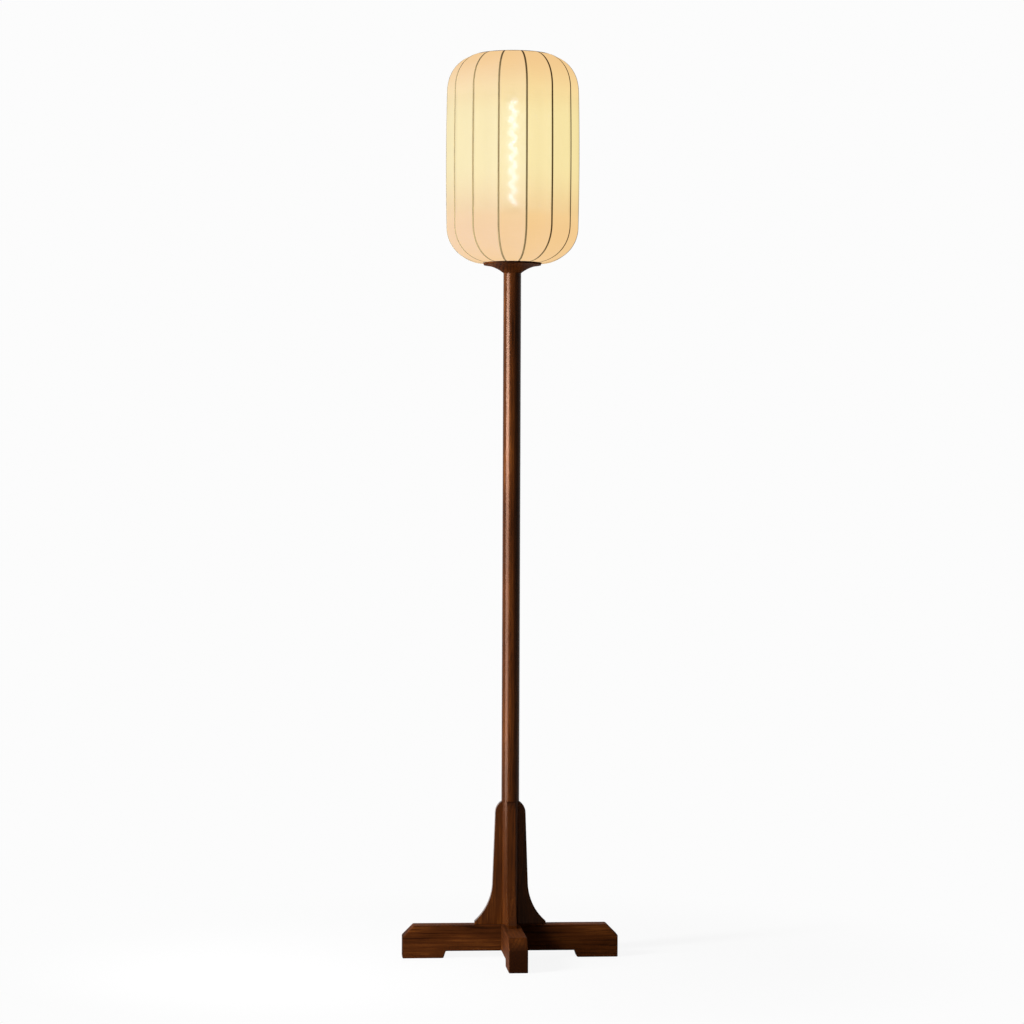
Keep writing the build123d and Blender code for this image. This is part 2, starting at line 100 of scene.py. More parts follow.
class ShadeSettings(bpy.types.PropertyGroup):
    silk: colour_setting("Silk", "Light that the silk throws back", (0.012, 0.030, 0.070))
    # Painted light and shade on the silk: its emission stands in for the bulb's light through it, and the rib colours
    # give a painted rib shadow in that glow, over the rib's own colour seen through the silk.
    glow_middle: colour_setting("Glow at the bulb", "Light through the silk beside the bulb", (0.965, 0.80, 0.385))
    glow_end: colour_setting("Glow at the ends", "Light through the silk at its two ends", (0.905, 0.595, 0.275))
    rib_shadow: colour_setting("Rib line", "Colour of the silk where a rib lies behind it", (0.26, 0.202, 0.102))
    rib_glow: colour_setting("Glow at a rib", "Light through the silk where a rib lies behind it", (0.03, 0.010, 0.0))
    lacquer: colour_setting("Frame lacquer", "Colour of the ribs and hoops", (0.055, 0.028, 0.014))
    tape: colour_setting("Edge tape", "Colour of the tape that binds the silk's two edges", (0.10, 0.046, 0.020))
    crown_radius: length_setting("Crown", "Radius at which the shade's outline would be level", 57 * MM)
    top_corner: length_setting("Upper corner", "Height of the shade's upper corner", 64 * MM)
    bottom_corner: length_setting("Lower corner", "Height of the shade's lower corner", 59.5 * MM)
    top_knuckle: length_setting("Upper knuckle", "Radius in the middle of the upper corner", 59.5 * MM)
    bottom_knuckle: length_setting("Lower knuckle", "Radius in the middle of the lower corner", 57.5 * MM)
    pull_in: length_setting("Pull", "How far the stretched silk draws in between two ribs", 1.6 * MM)
    thickness: length_setting("Silk thickness", "Thickness of the silk with its backing", 0.6 * MM)
    rib_width: length_setting("Rib width", "Width of a rib's strip", 2.2 * MM)
    rib_depth: length_setting("Rib depth", "Thickness of a rib's strip", 1.6 * MM)
    rib_count: IntProperty(name="Ribs", description="Number of ribs round the shade", default=len(RIBS), min=3)


class BulbSettings(bpy.types.PropertyGroup):
    light: colour_setting("Bulb light", "Colour of the glowing coil", (0.60, 0.66, 1.0))
    coil_strength: number_setting("Coil strength", "Light of the coil", 6.2, min=0)
    # A painted glow in the glass: emission that stands in for the coil's light scattered in it.
    glass_haze: number_setting("Glass haze", "Share of the glass that glows", 0.15, min=0, max=1)
    haze: colour_setting("Haze", "Colour of the glow in the glass", (0.92, 1.0, 0.76))
    turns: IntProperty(name="Turns", description="Turns of the coil", default=8, min=1)
    wire: length_setting("Coil thickness", "Thickness of the glowing strand", 3.6 * MM)
    coil_radius: length_setting("Coil radius", "Outer radius of the coil", 6.8 * MM)
    loose_end: length_setting("Loose end", "How far each end turn spreads past the wound length", 6.0 * MM)
    wall: length_setting("Glass wall", "Thickness of the bulb's glass", 0.9 * MM)


class StageSettings(bpy.types.PropertyGroup):
    camera_turn: angle_setting("Camera turn", "Angle of the camera round the lamp", radians(-4.57))
    camera_roll: angle_setting("Camera roll", "Tilt of the camera about its line of sight", radians(0.22))
    camera_distance: length_setting("Camera distance", "From the camera to the lamp's axis", 5.02)
    camera_height: length_setting("Camera height", "From the floor to the camera", 0.7756)
    focal_length: number_setting("Focal length", "Lens of the camera in millimetres", 102.66)
    shift_down: number_setting("Shift", "Share of the picture that the view is shifted down", 0.0068)
    key_strength: number_setting("Key light", "Power that the lights on the left go by, in watts", 100)
    fill_strength: number_setting("Fill", "Light that comes from all round", 0.05)
    backdrop: number_setting("Backdrop", "How pale the backdrop looks, where 1 is white", 0.973)


# Nodes
def colour(values):
    return (*values, 1.0)


def grey(level):
    return (level, level, level, 1.0)


def toned(tint, share):
    """A darker or lighter tone of a colour."""
    return [share * part for part in tint]


def arithmetic(operation, swapped=False):
    """Method that carries out an operator of a Term with a Math node."""

    def result(self, other):
        values = (other, self) if swapped else (self, other)
        return self.nodes.sum(operation, *values)

    return result


class Term:
    """What a node gives.  Arithmetic on it adds Math nodes to the same tree."""

    __add__, __mul__ = arithmetic("ADD"), arithmetic("MULTIPLY")
    __sub__, __rsub__ = arithmetic("SUBTRACT"), arithmetic("SUBTRACT", swapped=True)
    __truediv__, __rtruediv__ = arithmetic("DIVIDE"), arithmetic("DIVIDE", swapped=True)

    def __init__(self, nodes, socket):
        self.nodes, self.socket = nodes, socket


class Nodes:
    """Adds nodes to a tree and wires them up as they are added."""

    def __init__(self, tree):
        self.tree = tree

    def put(self, socket, value):
        if isinstance(value, Term):
            self.tree.links.new(value.socket, socket)
        else:
            socket.default_value = value

    def node(self, kind, inputs=None, **settings):
        node = self.tree.nodes.new(kind)
        for name, value in settings.items():
            setattr(node, name, value)
        for name, value in (inputs or {}).items():
            self.put(node.inputs[name], value)
        return node

    def add(self, kind, inputs=None, output=0, **settings):
        """Adds a node and gives one of its outputs."""
        return Term(self, self.node(kind, inputs, **settings).outputs[output])

    def sum(self, operation, *values):
        return self.add("ShaderNodeMath", dict(enumerate(values)), operation=operation)

    def vector(self, operation, *values, output=0):
        return self.add("ShaderNodeVectorMath", dict(enumerate(values)), output, operation=operation)

    def join(self, *parts):
        return self.add("ShaderNodeCombineXYZ", dict(enumerate(parts)))

    def split(self, vector):
        return [Term(self, part) for part in self.node("ShaderNodeSeparateXYZ", {0: vector}).outputs]

    def noise(self, vector, stretch, detail=2.0, roughness=0.5, output="Fac"):
        """Noise at a vector that is first stretched, alike in all directions or by its own share in each."""
        shares = stretch if isinstance(stretch, tuple) else [stretch] * 3
        spot = self.vector("MULTIPLY", vector, shares)
        inputs = {"Vector": spot, "Scale": 1.0, "Detail": detail, "Roughness": roughness}
        return self.add("ShaderNodeTexNoise", inputs, output)

    def ease(self, value, low, high, to_low=0.0, to_high=1.0):
        """Smooth step of a value from one range to another."""
        inputs = {"Value": value, "From Min": low, "From Max": high, "To Min": to_low, "To Max": to_high}
        return self.add("ShaderNodeMapRange", inputs, interpolation_type="SMOOTHSTEP")

    def band(self, value, rise, fall):
        """1 between a range where it rises from 0 and a range where it falls back to 0."""
        return self.ease(value, *rise) * self.ease(value, *fall, 1.0, 0.0)

    def mix(self, share, *tints):
        """Colour between two colours."""
        first, second = (tint if isinstance(tint, Term) else colour(tint) for tint in tints)
        return self.add("ShaderNodeMix", {0: share, 6: first, 7: second}, 2, data_type="RGBA")

    def bump(self, height, distance, strength):
        inputs = {"Height": height, "Distance": distance, "Strength": strength}
        return self.add("ShaderNodeBump", inputs, "Normal")


class Finish(Nodes):
    """A material under way, with its main shader."""

    def __init__(self, name, **sockets):
        self.material = bpy.data.materials.new(name)
        self.material.use_nodes = True
        super().__init__(self.material.node_tree)
        self.shader = self.tree.nodes["Principled BSDF"]
        self.painted(**sockets)

    def painted(self, **sockets):
        """Sets sockets of the main shader and gives the material."""
        for label, value in sockets.items():
            self.put(self.shader.inputs[label.replace("_", " ")], value)
        return self.material

    def surfaced(self, shader):
        """Makes a shader the material's surface and gives the material."""
        self.put(self.tree.nodes["Material Output"].inputs["Surface"], shader)
        return self.material

    def place(self, location=(0, 0, 0), rotation=(0, 0, 0)):
        """Object coordinates, in metres, moved and turned."""
        seen = self.add("ShaderNodeTexCoord", output="Object")
        return self.add("ShaderNodeMapping", {"Vector": seen, "Location": location, "Rotation": rotation})

    def height(self):
        return self.split(self.place())[2]

    def blend(self, share, first, second):
        """Shader between two shaders."""
        return self.add("ShaderNodeMixShader", {0: share, 1: first, 2: second})

    def main(self):
        return Term(self, self.shader.outputs[0])


# Materials
WARM_GLOSS = (1.0, 0.60, 0.42)
SATIN, MATT = (0.08, 0.17), (0.02, 0.58)  # sheen, roughness
ALONG = {  # turn that lays the grain along an axis, and that axis
    "x": ((0, 0, 0), (1, 0, 0)),
    "y": ((0, 0, -pi / 2), (0, 1, 0)),
    "z": ((0, pi / 2, 0), (0, 0, 1)),
}
WAVES_PER_METRE = TURN / 20  # scale of a wave texture whose rings are one metre apart
WARP_PITCH, WEFT_PITCH = 0.55 * MM, 0.62 * MM  # distance between two threads, each way
RIB_SHADOW = (1.25 * MM, 1.8 * MM)  # distances from a rib's middle between which its shadow ends
COIL_SHOWS, COIL_SHARP = 0.24, 0.7  # share of the coil's light let through, and share of it that isn't spread


def walnut(wood, piece, grain, pith, lacquer):
    """Stained walnut under lacquer.  grain is the axis it runs along, pith where its heart lies."""
    rotation, axis = ALONG[grain]
    sheen, smoothest = lacquer
    finish = Finish(f"walnut of the {piece}", Specular_IOR_Level=sheen, Specular_Tint=colour(WARM_GLOSS))
    spot = finish.place(pith, rotation)

    sway = finish.noise(spot, (5, 16, 16), output="Color")
    centred = finish.vector("SUBTRACT", sway, (0.5, 0.5, 0.5))
    bent = finish.vector("ADD", spot, finish.vector("MULTIPLY", centred, [9 * MM] * 3))
    rings = finish.add(
        "ShaderNodeTexWave", {"Vector": bent, "Scale": WAVES_PER_METRE / wood.ring_spacing}, "Fac",
        wave_type="RINGS", rings_direction="X", wave_profile="SAW",
    )
    late_wood = finish.ease(rings, 0.45, 0.98)
    fibre = finish.noise(bent, (16, 620, 620), detail=5, roughness=0.62)
    figure = finish.noise(bent, (8, 38, 38), detail=2.5)
    pores = finish.ease(finish.noise(spot, (120, 2300, 2300), detail=1), 0.60, 0.70)

    tone = figure * 0.9 + fibre * 0.75 - late_wood * 0.16
    tint = finish.mix(finish.ease(tone, 0.46, 0.80), wood.heart, wood.body)
    tint = finish.mix(finish.ease(tone, 0.80, 1.12), tint, wood.light)
    tint = finish.mix(pores * 0.45, tint, wood.heart)

    normal = finish.add("ShaderNodeNewGeometry", output="Normal")
    along_axis = finish.sum("ABSOLUTE", finish.vector("DOT_PRODUCT", normal, axis, output=1))
    end_grain = finish.ease(along_axis, 0.5, 0.9)
    return finish.painted(
        Base_Color=finish.mix(end_grain * 0.9, tint, wood.heart),
        Roughness=fibre * 0.08 + smoothest + pores * 0.12,
        Normal=finish.bump(fibre - pores * 0.8, 0.05 * MM, 0.25),
    )


def silk_finish(shade):
    """Thin silk that the bulb shines through: plain weave with slubs, a painted glow, and a painted shadow where a
    rib lies behind.
    """
    finish = Finish("lit silk", Roughness=0.62, Specular_IOR_Level=0.0, Sheen_Weight=0.03, Sheen_Roughness=0.5)
    threads = finish.add("ShaderNodeUVMap", uv_map="weave")
    across, along, _ = finish.split(threads)
    warp = finish.sum("SINE", across * (TURN / WARP_PITCH))
    weft = finish.sum("SINE", along * (TURN / WEFT_PITCH))
    slubs = finish.noise(threads, (30, 1400, 1)) + finish.noise(threads, (1700, 24, 1))
    cloud = finish.noise(threads, (9, 9, 1))

    near = finish.add("ShaderNodeAttribute", output="Fac", attribute_name="rib_distance", attribute_type="GEOMETRY")
    # clear falls to 0 where a rib lies behind the silk: there the glow gets a painted rib shadow.
    clear = finish.ease(near, *RIB_SHADOW)
    height = finish.height()
    _, low, high = lens("bulb_filament")
    _, bottom, top = lens("shade_cover")
    # Painted glow: emission stands in for the bulb's light through the silk, brighter in a band beside the bulb.
    beside = finish.band(height, (bottom + 45 * MM, low + 62 * MM), (high - 40 * MM, top - 8 * MM))
    glow = finish.mix(beside, shade.glow_end, shade.glow_middle)
    finish.painted(
        Base_Color=finish.mix(clear, shade.rib_shadow, shade.silk),
        Emission_Color=finish.mix(clear, shade.rib_glow, glow),
        Emission_Strength=slubs * 0.06 + cloud * 0.06 + 0.91,
        Normal=finish.bump(warp * weft * 0.5 + slubs, 0.08 * MM, 0.3),
    )

    # The lit coil shows softly through the open weave, where the cloth is seen straight on.
    diffused, outline, leaving = (
        finish.add("ShaderNodeBsdfRefraction", {"Color": WHITE, "Roughness": rough, "IOR": 1.3})
        for rough in (1.0, 0.35, 0.0)
    )
    window = finish.band(height, (low - 36 * MM, low - 18 * MM), (high - 4 * MM, high + 16 * MM)) * clear
    facing = finish.add("ShaderNodeLayerWeight", {"Blend": 0.5}, "Facing")
    coil = finish.blend(COIL_SHARP, diffused, outline)
    cloth = finish.blend(window * (1.0 - facing) * COIL_SHOWS, finish.main(), coil)
    behind = finish.add("ShaderNodeNewGeometry", output="Backfacing")
    return finish.surfaced(finish.blend(behind, cloth, leaving))


def frame_lacquer(shade):
    """Brown lacquer on steel strip."""
    finish = Finish("brown frame lacquer", Coat_Weight=0.3, Coat_Roughness=0.3, Specular_IOR_Level=0.4)
    mottle = finish.noise(finish.place(), 180, detail=3)
    return finish.painted(
        Base_Color=finish.mix(mottle, shade.lacquer, toned(shade.lacquer, 1.5)),
        Roughness=mottle * 0.2 + 0.38,
        Normal=finish.bump(finish.noise(finish.place(), 900), 0.05 * MM, 0.3),
    )


def tape_finish(shade):
    """Woven tape folded over the silk's edge, with painted shade in the valleys between its ridges."""
    finish = Finish("edge tape", Roughness=0.85, Sheen_Weight=0.2, Specular_IOR_Level=0.2)
    x, y, _ = finish.split(finish.place())
    ridges = finish.sum("SINE", finish.sum("ARCTAN2", y, x) * 420)
    return finish.painted(
        # Painted shade: the tape is darker in the valleys between its ridges.
        Base_Color=finish.mix(finish.ease(ridges, -1, 1), toned(shade.tape, 0.6), shade.tape),
        Normal=finish.bump(ridges, 0.1 * MM, 0.5),
    )


def metal(name, tint, roughness, brushing):
    """Bare metal, turned: fine rings and small stains."""
    finish = Finish(name, Metallic=1.0)
    lines = finish.noise(finish.join(0.0, 0.0, finish.height()), brushing, detail=4)
    stains = finish.noise(finish.place(), 160, detail=3)
    return finish.painted(
        Base_Color=finish.mix(stains, toned(tint, 0.72), tint),
        Roughness=stains * 0.18 + roughness,
        Normal=finish.bump(lines, 0.02 * MM, 0.4),
    )


def moulded(name, tint, roughness, coat=0.0):
    """Moulded or glazed piece with a fine surface."""
    finish = Finish(name, Coat_Weight=coat, Coat_Roughness=0.08, Specular_IOR_Level=0.15)
    cloud = finish.noise(finish.place(), 70)
    return finish.painted(
        Base_Color=finish.mix(cloud, tint, toned(tint, 1.25)),
        Roughness=cloud * 0.15 + roughness,
        Normal=finish.bump(finish.noise(finish.place(), 900), 0.03 * MM, 0.12),
    )


def bulb_glass_finish(bulb):
    """Clear thin glass with a painted warm glow round the lit coil."""
    finish = Finish("bulb glass")
    _, low, high = lens("bulb_filament")
    beside = finish.band(finish.height(), (low - 22 * MM, low + 8 * MM), (high - 8 * MM, high + 10 * MM))
    clear = finish.add("ShaderNodeBsdfTransparent", {"Color": colour((0.97, 0.96, 0.93))})
    # Painted glow: emission in the glass beside the coil stands in for the coil's light scattered in it.
    glow = finish.add("ShaderNodeEmission", {"Color": colour(bulb.haze), "Strength": 1.6})
    gloss = finish.add("ShaderNodeBsdfGlossy", {"Color": WHITE, "Roughness": 0.04})
    edge = finish.add("ShaderNodeFresnel", {"IOR": 1.45})
    body = finish.blend(beside * bulb.glass_haze, clear, glow)
    return finish.surfaced(finish.blend(edge * 0.6, body, gloss))


def coil_finish(bulb):
    """Glowing strand, a little uneven along its length."""
    light = colour(bulb.light)
    finish = Finish("glowing coil", Base_Color=light, Emission_Color=light, Roughness=0.5)
    uneven = finish.noise(finish.place(), 300, detail=1)
    return finish.painted(Emission_Strength=(uneven * 0.3 + 0.85) * bulb.coil_strength)


# Meshes
def lens(node):
    """Radius, bottom and top of a round CAD node on the lamp's axis."""
    low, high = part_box(node)
    return (high.x - low.x) / 2, low.z, high.z


def finished(piece, material, body, slot, *nodes):
    """Gives a piece its material and body, and hides the CAD nodes that it stands for.  The slot is not used."""
    piece.data.materials.clear()
    piece.data.materials.append(material)
    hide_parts(*nodes)
    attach(piece, body)


def shown(name, data):
    """New object in the scene."""
    made = bpy.data.objects.new(name, data)
    bpy.context.scene.collection.objects.link(made)
    return made


def smooth(piece, angle):
    """Smooth shading that keeps edges sharper than an angle."""
    piece.data.shade_smooth()
    piece.data.set_sharp_from_angle(angle=angle)


def new_piece(name, shape):
    """Object from a bmesh, with outward normals and smooth shading."""
    bmesh.ops.remove_doubles(shape, verts=shape.verts, dist=WELD)
    bmesh.ops.recalc_face_normals(shape, faces=shape.faces)
    mesh = bpy.data.meshes.new(name)
    shape.to_mesh(mesh)
    shape.free()
    piece = shown(name, mesh)
    smooth(piece, CREASE)
    return piece


def eased_copy(node, ending, width, segments):
    """Copy of a CAD node as clean faces, with its sharp edges rounded."""
    shape = bmesh.new()
    shape.from_mesh(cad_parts[node].data)
    bmesh.ops.remove_doubles(shape, verts=shape.verts, dist=5 * WELD)
    flat = radians(0.5)
    bmesh.ops.dissolve_limit(shape, angle_limit=flat, verts=shape.verts, edges=shape.edges)
    piece = new_piece(f"{node}_{ending}", shape)
    bevel = piece.modifiers.new("eased edges", "BEVEL")
    bevel.width = width
    bevel.segments = segments
    bevel.limit_method = "ANGLE"
    bevel.angle_limit = radians(28)
    bevel.harden_normals = True
    return piece


def eased(node, ending, width, material, body, slot, segments=3):
    """Puts such a copy in the CAD node's place."""
    finished(eased_copy(node, ending, width, segments), material, body, slot, node)


def rounded(corners, radius, cuts=3):
    """Closed outline with each corner turned into an arc that takes less than half of each side."""
    nearly_straight, most = radians(165), 0.45
    outline = []
    for index, corner in enumerate(corners):
        point = Vector(corner)
        before = Vector(corners[index - 1]) - point
        after = Vector(corners[(index + 1) % len(corners)]) - point
        opening = before.angle(after)
        if opening > nearly_straight:
            outline.append(corner)
            continue
        reach = min(radius / tan(opening / 2), most * before.length, most * after.length)
        start, stop = point + before.normalized() * reach, point + after.normalized() * reach
        for cut in range(cuts + 1):
            share = cut / cuts
            arc = start * (1 - share) ** 2 + point * 2 * share * (1 - share) + stop * share**2
            outline.append(tuple(arc))
    return outline


def arc_through(start, middle, stop, cuts):
    """Points of the arc through three points, from the first to the last."""

    def bisector(first, second):
        half, along = (first + second) / 2, second - first
        return half.to_3d(), (half + Vector((-along.y, along.x))).to_3d()

    centre = intersect_line_line(*bisector(start, middle), *bisector(middle, stop))[0].to_2d()
    first, last = start - centre, stop - centre
    sweep = first.angle_signed(last)
    points = []
    for cut in range(cuts + 1):
        turn = -sweep * cut / cuts
        spun = Vector((first.x * cos(turn) - first.y * sin(turn), first.x * sin(turn) + first.y * cos(turn)))
        points.append(tuple(centre + spun))
    return points


def rounded_rim(radius, low, high, easing, cuts=4):
    """Points round a plate's edge, from its lower corner to its upper one."""
    middle = radius - easing
    return [
        (middle + easing * cos(start + pi / 2 * cut / cuts), level + easing * sin(start + pi / 2 * cut / cuts))
        for level, start in ((low + easing, -pi / 2), (high - easing, 0.0))
        for cut in range(cuts + 1)
    ]


def spread(low, high, rows):
    """Levels from one height to another."""
    return [low + (high - low) * row / rows for row in range(rows + 1)]


def doubled(levels, steps):
    """Levels with two close together at each sudden step, so that it stays crisp."""
    for step in steps:
        levels = [level for level in levels if abs(level - step) > 3 * HAIR]
        levels += [step - HAIR, step + HAIR]
    return sorted(levels)


def skinned(name, rings):
    """Closed piece from rings of points, each joined to the one before.  Faces on the lamp's axis are left out."""
    shape = bmesh.new()
    rings = [[shape.verts.new(point) for point in ring] for ring in rings]
    for number, there in enumerate(rings):
        here = rings[number - 1]
        for index in range(len(there)):
            corners = (here[index - 1], here[index], there[index], there[index - 1])
            if max(corner.co.xy.length for corner in corners) > 10 * WELD:
                shape.faces.new(corners)
    bmesh.ops.remove_doubles(shape, verts=shape.verts, dist=10 * WELD)
    bmesh.ops.dissolve_degenerate(shape, dist=WELD, edges=shape.edges)
    return new_piece(name, shape)


def turned(name, outline, around=AROUND):
    """Piece turned about the lamp's axis from a closed outline of (radius, level)."""
    angles = [TURN * step / around for step in range(around)]
    return skinned(name, [[(r * cos(angle), r * sin(angle), z) for r, z in outline] for angle in angles])


def tube(name, outer, inner, levels, around=96):
    """Tube whose two walls follow rules of (angle, level)."""
    angles = [TURN * step / around for step in range(around)]
    rings = []
    for rule, order in ((outer, levels), (inner, reversed(levels))):
        for level in order:
            radii = [rule(angle, level) for angle in angles]
            rings.append([(r * cos(a), r * sin(a), level) for r, a in zip(radii, angles)])
    return skinned(name, rings)


def thread(radius, depth, pitch, low, high):
    """Rule of a rolled thread that fades out at its two ends."""

    def rule(angle, level):
        turn = (level - low) / pitch - angle / TURN
        fade = max(0.0, min(1.0, (level - low) / pitch, (high - level) / pitch))
        return radius - depth * fade * (0.5 + 0.5 * cos(TURN * turn))

    return rule


def plain(radius):
    """Rule of a straight wall."""
    return lambda angle, level: radius


# Geometry Nodes
class Maker(Nodes):
    """Geometry Nodes tree with named inputs, and the plain mesh that it makes."""

    def __init__(self, name, **inputs):
        tree = bpy.data.node_groups.new(name, "GeometryNodeTree")
        super().__init__(tree)
        tree.interface.new_socket("Geometry", in_out="INPUT", socket_type="NodeSocketGeometry")
        self.values = {}
        for label, value in inputs.items():
            kind = "NodeSocketInt" if isinstance(value, int) else "NodeSocketFloat"
            if isinstance(value, bpy.types.Material):
                kind = "NodeSocketMaterial"
            socket = tree.interface.new_socket(label.replace("_", " "), in_out="INPUT", socket_type=kind)
            self.values[socket.identifier] = value
        tree.interface.new_socket("Geometry", in_out="OUTPUT", socket_type="NodeSocketGeometry")
        self.inputs = self.node("NodeGroupInput").outputs
        self.output = self.node("NodeGroupOutput").inputs[0]

    def given(self, *names):
        return [Term(self, self.inputs[name]) for name in names]

    def stored(self, geometry, name, value, kind, domain):
        """Geometry that keeps a value under a name."""
        inputs = {"Geometry": geometry, "Name": name, "Value": value}
        return self.add("GeometryNodeStoreNamedAttribute", inputs, data_type=kind, domain=domain)

    def swept(self, line, section):
        inputs = {"Curve": line, "Profile Curve": section, "Fill Caps": True}
        return self.add("GeometryNodeCurveToMesh", inputs)

    def made(self, name, points, geometry, sharpest):
        """Ends the tree, runs it on a line of points and keeps the result as a new object."""
        source = path_object(f"line of the {name}", points)
        (material,) = self.given("Material")
        real = self.add("GeometryNodeRealizeInstances", {"Geometry": geometry})
        self.put(self.output, self.add("GeometryNodeSetMaterial", {"Geometry": real, "Material": material}))
        modifier = source.modifiers.new(self.tree.name, "NODES")
        modifier.node_group = self.tree
        for identifier, value in self.values.items():
            modifier[identifier] = value
        depsgraph = bpy.context.evaluated_depsgraph_get()
        mesh = bpy.data.meshes.new_from_object(source.evaluated_get(depsgraph), depsgraph=depsgraph)
        mesh.name = name
        bpy.data.objects.remove(source)
        piece = shown(name, mesh)
        smooth(piece, sharpest)
        return piece


def path_object(name, points):
    """Curve object of straight runs through points."""
    data = bpy.data.curves.new(name, "CURVE")
    data.dimensions = "3D"
    line = data.splines.new("POLY")
    line.points.add(len(points) - 1)
    for spot, point in zip(line.points, points):
        spot.co = (*point, 1)
    return shown(name, data)


# The shade's side outline: three tangent arcs at each corner and one long arc between them
FIRST_ARC, KNUCKLE_ARC, LEAN = radians(32), radians(44), radians(1.2)


def corner_radii(width, height, knuckle):
    """Radii of a corner's first and last arc, which span its width and height with the knuckle."""
    first, second, last = FIRST_ARC, FIRST_ARC + KNUCKLE_ARC, pi / 2 - LEAN
    a, b, c, d = sin(first), sin(last) - sin(second), 1 - cos(first), cos(second) - cos(last)
    across = width - knuckle * (sin(second) - sin(first))
    down = height - knuckle * (cos(first) - cos(second))
    span = a * d - b * c
    return (across * d - b * down) / span, (a * down - across * c) / span


def shade_meridian(shade, inset, step=1.5 * MM):
    """Points (radius, level) from the upper hoop round to the lower one, a distance inside the silk's face."""
    mouth = lens("top_hoop")[0] + SOLDER_GAP
    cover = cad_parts["shade_cover"].data
    reach = max(hypot(vertex.co.x, vertex.co.y) for vertex in cover.vertices)
    bottom, top = lens("shade_cover")[1], lens("top_hoop")[2]
    top_start = shade.crown_radius
    bottom_start = lens("bottom_hoop")[0] + SOLDER_GAP
    side = top - bottom - shade.top_corner - shade.bottom_corner
    edge = reach - side / 2 * tan(LEAN / 2)
    last_arc = pi / 2 - LEAN - FIRST_ARC - KNUCKLE_ARC
    top_first, top_last = corner_radii(edge - top_start, shade.top_corner, shade.top_knuckle)
    bottom_first, bottom_last = corner_radii(edge - bottom_start, shade.bottom_corner, shade.bottom_knuckle)
    heading = asin((mouth - top_start) / (top_first - inset))
    arcs = (
        (top_first, FIRST_ARC - heading),
        (shade.top_knuckle, KNUCKLE_ARC),
        (top_last, last_arc),
        (side / 2 / sin(LEAN), 2 * LEAN),
        (bottom_last, last_arc),
        (shade.bottom_knuckle, KNUCKLE_ARC),
        (bottom_first, FIRST_ARC),
    )
    point = Vector((mouth, top - inset - (top_first - inset) * (1 - cos(heading))))
    points = [tuple(point)]
    for radius, turn in arcs:
        radius -= inset
        centre = point + radius * Vector((-sin(heading), -cos(heading)))
        cuts = max(2, ceil(radius * turn / step))
        for cut in range(1, cuts + 1):
            angle = heading + turn * cut / cuts
            points.append(tuple(centre + radius * Vector((sin(angle), cos(angle)))))
        heading += turn
        point = Vector(points[-1])
    return points


def on_front(points):
    """Points (radius, level) as points in space."""
    return [(radius, 0.0, level) for radius, level in points]


def first_rib_angle():
    """Direction of the first rib from the lamp's axis."""
    low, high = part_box("rib_01")
    middle = (low + high) / 2
    return atan2(middle.y, middle.x)


